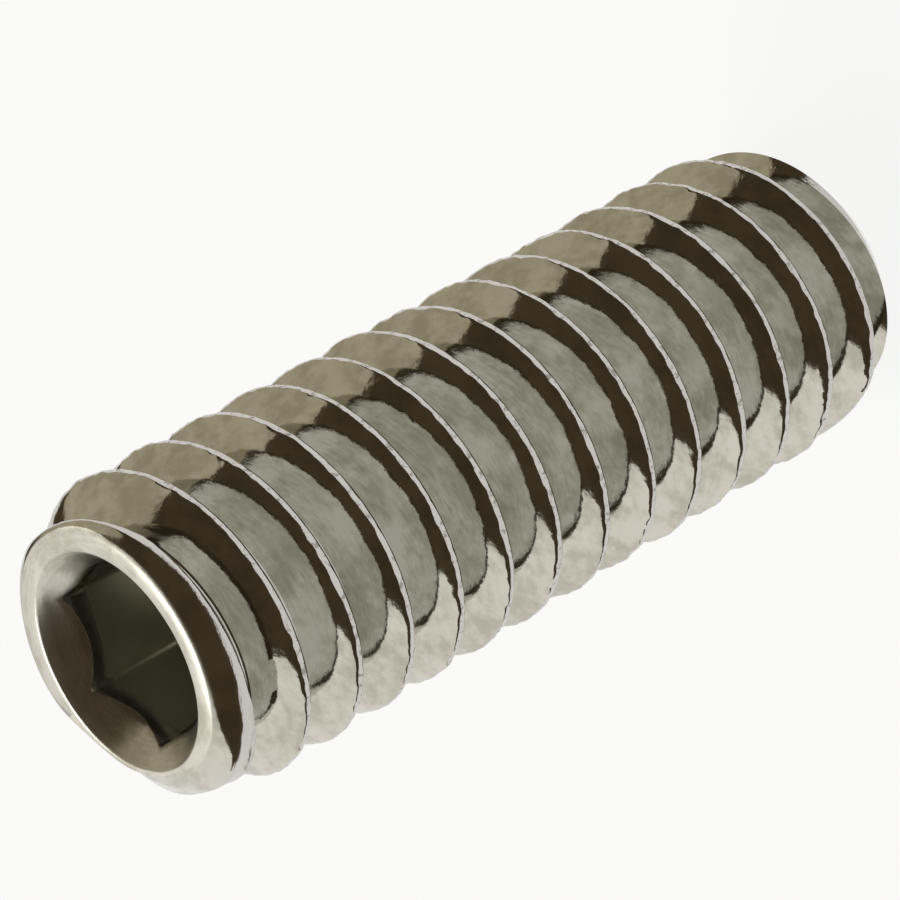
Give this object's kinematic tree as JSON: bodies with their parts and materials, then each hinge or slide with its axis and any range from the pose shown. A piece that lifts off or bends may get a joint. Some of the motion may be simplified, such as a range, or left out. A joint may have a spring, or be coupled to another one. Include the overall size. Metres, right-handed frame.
{
  "type": "grub set screw",
  "caption": "Fully threaded headless set screw with a countersunk hex socket in its top end and a chamfered flat point to stand on.",
  "frame": {"origin": "centre of the flat point, which the screw stands on", "axes": "+Z along the screw from its point to its socket; two corners of the hex socket lie on the Y axis, and its flats face X"},
  "size_m": [0.0062, 0.0062, 0.0186],
  "materials": {
    "stainless_steel": "bright rolled stainless steel, warm grey, with dull crests"
  },
  "bodies": {
    "root": {"set_screw": "stainless_steel"}
  },
  "joints": []
}
